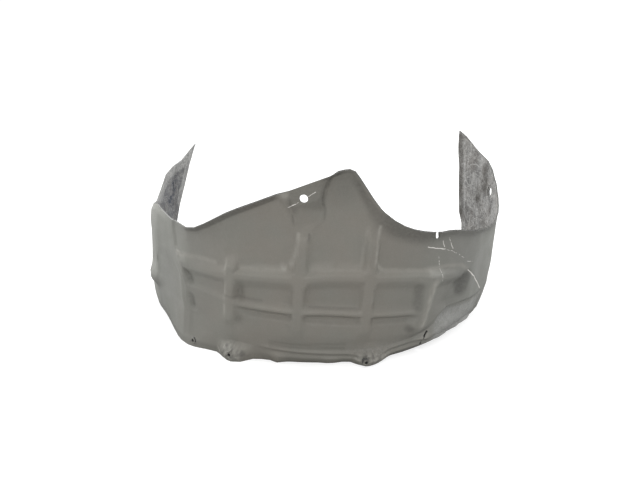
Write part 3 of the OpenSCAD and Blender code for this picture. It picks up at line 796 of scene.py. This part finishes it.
patches = use(tree, mottle, {"Vector": chart, "Size": 14})
plain = blend(tree, mask(tree, "cool"), WARM_FILM, COOL_FILM)
plain = blend(tree, times(tree, patches["Tint"], 0.35), plain, GREEN_FILM)
plain = blend(tree, times(tree, patches["Tone"], 0.10), plain, DARK_PATCH)
threads = use(tree, fibres, {"Vector": chart, "Size": 330})
plain = blend(tree, times(tree, threads["Pale"], 0.06), plain, PALE_THREAD)
# Painted shade and some road dirt, where the soil mask says
dirty_and_shaded = use(tree, soiling_and_shading, {
    "Color": plain, "Vector": chart, "Mask": mask(tree, "soil_and_shade"), "Shade And Dirt": SHADE_AND_ROAD_DIRT})
rubbed_at = step(tree, noise(tree, chart, 70, 4, 0.6), 0.3, 0.65, 0.5, 1.0)
# Painted highlights on lit crests and walls, with some wear
rubbed_and_lit = maths(tree, "MULTIPLY", mask(tree, "wear_and_highlight"), rubbed_at, clamp=True)
worn_and_lit = blend(tree, rubbed_and_lit, dirty_and_shaded["Color"], RUBBED_AND_LIT_FILM)
print("Nodes of the film so far:", len(tree.nodes))

# %% Film: scuffs
stone_hits = use(tree, fibres, {"Vector": chart, "Size": 210})
scuff_mask = mask(tree, "scuff")
graze_patches = step(tree, noise(tree, chart, 45, 5, 0.7), 0.3, 0.65, 0.35, 0.65)
grazed = times(tree, maths(tree, "POWER", scuff_mask, 3), graze_patches)
worn_and_lit = blend(tree, grazed, worn_and_lit, GRAZED_FILM)
worn_and_lit = blend(tree, times(tree, stone_hits["Pale"], scuff_mask, 0.13), worn_and_lit, PALE_HIT)
worn_and_lit = blend(tree, times(tree, stone_hits["Dark"], scuff_mask, 0.2), worn_and_lit, DARK_HIT)
print("Nodes of the film with its scuffs:", len(tree.nodes))

# %% Film: scratches, and painted shadow in the tears, as start, end, half width in millimetres, share of breaks
SCRATCHES = [
    ((-12.2, 296), (-8.9, 311), 0.8, 0.0),
    ((-6.4, 323), (-4.4, 332), 0.7, 0.30),
    ((32.3, 226), (39.3, 216), 1.2, 0.12),
    ((39.3, 216), (44.8, 203), 0.7, 0.40),
    ((38.0, 233), (38.9, 221), 1.0, 0.28),
    ((40.6, 236), (42.6, 214), 1.0, 0.22),
    ((36.9, 205), (38.8, 156), 0.7, 0.42),
    ((45.6, 200), (48.2, 190), 0.6, 0.40),
    ((51.3, 161), (64.5, 98), 1.3, 0.16),
    ((49.6, 181), (52.8, 176), 0.6, 0.35),
]
# Painted shadow along the tears
TEAR_SHADOW_LINES = [
    ((37.8, 48), (36.2, 41.5), 2.4, 0.0),
    ((36.0, 41), (35.2, 29), 1.0, 0.1),
    ((35.1, 29), (34.8, 22), 2.6, 0.0),
]


def lines_on(tree, chart, lines):
    """Mask of several broken lines."""
    mask_of_all = None
    for start, end, half_width, breaks in lines:
        place = [(a * MM_A_DEGREE / 1000, w / 1000, 0) for a, w in (start, end)]
        line = use(tree, scratch, {
            "Vector": chart, "Start": place[0], "End": place[1],
            "Half Width": half_width / 1000, "Breaks": breaks})["Mask"]
        mask_of_all = line if mask_of_all is None else maths(tree, "MAXIMUM", mask_of_all, line)
    return mask_of_all


# Painted shadow in the tears, nearly black
tear_shaded = blend(tree, lines_on(tree, chart, TEAR_SHADOW_LINES), worn_and_lit, TEAR_SHADOW)
marks = lines_on(tree, chart, SCRATCHES)
finished = blend(tree, marks, tear_shaded, WHITE_FIBRE)
tree.links.new(finished, skin.inputs["Base Color"])
print("Scratches:", len(SCRATCHES))

# %% Film: gloss and grain
shine = step(tree, noise(tree, chart, 30, 3), 0.3, 0.7, 0.50, 0.62)
# Where painted shade and dirt lie, the film is also made duller
dull_dirt_and_shade = times(tree, dirty_and_shaded["Amount"], 0.3)
tree.links.new(maths(tree, "ADD", shine, dull_dirt_and_shade, clamp=True), skin.inputs["Roughness"])
skin.inputs["Specular IOR Level"].default_value = 0.35
grain = maths(tree, "ADD", times(tree, threads["Height"], 0.5), noise(tree, chart, 900, 3))
rough_scuff = times(tree, scuff_mask, noise(tree, chart, 120, 5, 0.7), 2.5)
relief = maths(tree, "ADD", grain, rough_scuff)
bump = add(tree, "Bump", {"Height": relief, "Strength": 0.35, "Distance": 0.0006})
tree.links.new(bump.outputs[0], skin.inputs["Normal"])
print("Nodes of the film:", len(tree.nodes))

# %% [markdown]
# ## The felt
#
# The inner face has no film. It is a felt of waste fibres: mostly grey, with white and
# black strands through it. The strands are the same group as on the film, twice, once
# coarse and once fine. Smears of dirt lie over them and dull them, brown on the right leg.
# On the left leg the dark colour is bluish and paints shade over its middle as well as its smears.

# %% Felt
tree = bpy.data.materials["felt_face"].node_tree
skin = tree.nodes["Principled BSDF"]
chart = add(tree, "UVMap", uv_map="arch").outputs[0]
patches = use(tree, mottle, {"Vector": chart, "Size": 28})
plain = blend(tree, patches["Tone"], PALE_FELT, DARK_FELT)
plain = blend(tree, times(tree, patches["Tint"], 0.4), plain, BROWN_FELT)
# Paler where the wear mask says: wear, and on the left leg's strip a painted highlight
fibrous = blend(tree, mask(tree, "wear_and_highlight"), plain, CLEAN_AND_LIT_FELT)
coarse = use(tree, fibres, {"Vector": chart, "Size": 48})
fine = use(tree, fibres, {"Vector": chart, "Size": 240})
for strands_of, pale_share, dark_share in ((coarse, 0.38, 0.5), (fine, 0.25, 0.25)):
    fibrous = blend(tree, times(tree, strands_of["Dark"], dark_share), fibrous, BLACK_STRAND)
    fibrous = blend(tree, times(tree, strands_of["Pale"], pale_share), fibrous, WHITE_STRAND)
round_the_arch = add(tree, "SeparateXYZ", {0: chart}).outputs["X"]
# Bluish painted shade with dirt on the left, brown dirt on the right
shade_and_dirt = blend(tree, step(tree, round_the_arch, -0.1, 0.1), BLUISH_SHADE_AND_DIRT, BROWN_DIRT)
smeared = use(tree, mottle, {"Vector": chart, "Size": 55})["Tone"]
soil_and_shade_here = times(tree, mask(tree, "soil_and_shade"), step(tree, smeared, 0.1, 0.8, 0.6, 1.25))
dirty_and_shaded = use(tree, soiling_and_shading, {"Color": fibrous, "Vector": chart, "Mask": soil_and_shade_here, "Shade And Dirt": shade_and_dirt})
tree.links.new(dirty_and_shaded["Color"], skin.inputs["Base Color"])
skin.inputs["Roughness"].default_value = 0.92
skin.inputs["Specular IOR Level"].default_value = 0.15
skin.inputs["Sheen Weight"].default_value = 0.15
lumps = maths(tree, "ADD", times(tree, coarse["Height"], 2), fine["Height"])
bump = add(tree, "Bump", {"Height": lumps, "Strength": 0.8, "Distance": 0.002})
tree.links.new(bump.outputs[0], skin.inputs["Normal"])
print("Nodes of the felt:", len(tree.nodes))

# %% [markdown]
# ## The cut edge
#
# The press pinches the rim of the sheet hard and dark. On the left side the film has
# come away, and the white fibre shows as a thin line.

# %% Cut edge
tree = bpy.data.materials["cut_edge"].node_tree
skin = tree.nodes["Principled BSDF"]
chart = add(tree, "TexCoord").outputs["Object"]
cut = use(tree, fibres, {"Vector": chart, "Size": 260})
pressed = blend(tree, times(tree, cut["Pale"], 0.35), PRESSED_EDGE, PRESSED_FIBRE)
frayed = blend(tree, times(tree, cut["Dark"], 0.5), FRAYED_EDGE, FRAYED_DARK)
edge_colour = blend(tree, mask(tree, "pale_edge"), pressed, frayed)
tree.links.new(edge_colour, skin.inputs["Base Color"])
skin.inputs["Roughness"].default_value = 0.95
skin.inputs["Specular IOR Level"].default_value = 0.1
bump = add(tree, "Bump", {"Height": cut["Height"], "Strength": 0.6, "Distance": 0.001})
tree.links.new(bump.outputs[0], skin.inputs["Normal"])
print("Nodes of the cut edge:", len(tree.nodes))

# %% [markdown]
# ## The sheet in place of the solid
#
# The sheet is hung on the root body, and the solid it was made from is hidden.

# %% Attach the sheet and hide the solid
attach(sheet, "root")
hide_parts("splash_shield")
